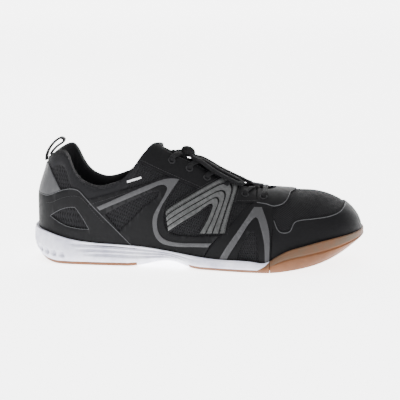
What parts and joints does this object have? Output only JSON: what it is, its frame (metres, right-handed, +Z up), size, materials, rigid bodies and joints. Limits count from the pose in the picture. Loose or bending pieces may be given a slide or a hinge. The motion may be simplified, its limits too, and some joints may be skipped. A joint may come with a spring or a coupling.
{
  "type": "court shoe",
  "caption": "Low-cut indoor court shoe for the right foot: mesh upper with bonded overlays, padded collar and tongue, tied laces, white foam midsole and gum rubber outsole.",
  "frame": {"origin": "centre of the bounding box in plan, on the ground the sole stands on", "axes": "+X towards the toe, +Z up, -Y towards the outer (lateral) side of the right foot"},
  "size_m": [0.3026, 0.105, 0.1151],
  "materials": {
    "gum_rubber": "matte, fine grain",
    "foam": "matte moulded foam skin",
    "board": "stitched fibre board",
    "sockliner_fabric": "knitted cover over foam",
    "stiffener": "moulded, hidden between the layers",
    "lining": "brushed padded knit",
    "mesh": "open sandwich mesh",
    "black_synthetic": "fine-grained synthetic leather",
    "grey_synthetic": "smooth synthetic with a light cut edge",
    "silver_synthetic": "brushed silver-grey film with moulded ribs",
    "webbing": "woven tape",
    "lace": "braided flat lace",
    "aglet_plastic": "shrunk plastic sleeve",
    "label": "printed mark"
  },
  "bodies": {
    "rearfoot": {"outsole_heel": "gum_rubber", "outsole_ball": "gum_rubber", "midsole": "foam", "board_rear": "board", "collar_foam": "lining", "heel_counter": "stiffener", "quarter_lining": "lining", "vamp_lining": "lining", "quarter_lateral": "mesh", "quarter_medial": "mesh", "vamp_mesh": "mesh", "heel_overlay": "black_synthetic", "heel_tab": "grey_synthetic", "saddle_lateral": "black_synthetic", "saddle_stripe_lateral": "grey_synthetic", "rib_panel_lateral": "silver_synthetic", "eyestay_lateral": "black_synthetic", "forefoot_overlay_lateral": "black_synthetic", "chevron_lateral": "grey_synthetic", "saddle_medial": "black_synthetic", "saddle_stripe_medial": "grey_synthetic", "rib_panel_medial": "silver_synthetic", "eyestay_medial": "black_synthetic", "forefoot_overlay_medial": "black_synthetic", "chevron_medial": "grey_synthetic", "throat_tip": "black_synthetic", "side_label": "label", "lace": "lace", "lace_knot": "lace", "bow_loop_lateral": "lace", "bow_loop_medial": "lace", "lace_end_lateral": "lace", "aglet_lateral": "aglet_plastic", "lace_end_medial": "lace", "aglet_medial": "aglet_plastic"},
    "forefoot": {"outsole_toe": "gum_rubber", "midsole_toe": "foam", "board_toe": "board", "sockliner_toe": "sockliner_fabric", "toe_puff": "stiffener", "toe_overlay": "black_synthetic"},
    "tongue": {"tongue": "mesh"},
    "pull_loop": {"pull_loop": "webbing"},
    "sockliner": {"sockliner_heel": "sockliner_fabric"}
  },
  "joints": [
    {"name": "toe_flex", "type": "hinge", "parent": "rearfoot", "child": "forefoot", "pos_m": [0.0677, 0.00233, 0.009], "axis": [0, -1, 0], "range_deg": [0, 30], "stiffness_Nm_per_rad": 4, "deforming": ["vamp_mesh", "vamp_lining", "throat_tip"]},
    {"name": "tongue_hinge", "type": "hinge", "parent": "rearfoot", "child": "tongue", "pos_m": [0.0627, 0.00233, 0.058], "axis": [0, 1, 0], "range_deg": [-12, 0], "stiffness_Nm_per_rad": 0.8},
    {"name": "pull_loop_swing", "type": "hinge", "parent": "rearfoot", "child": "pull_loop", "pos_m": [-0.1407, 0.00233, 0.0908], "axis": [0, 1, 0], "range_deg": [-90, 0], "stiffness_Nm_per_rad": 0.05},
    {"name": "sockliner_lift", "type": "hinge", "parent": "rearfoot", "child": "sockliner", "pos_m": [0.0657, 0.00233, 0.01], "axis": [0, 1, 0], "range_deg": [0, 4]}
  ]
}
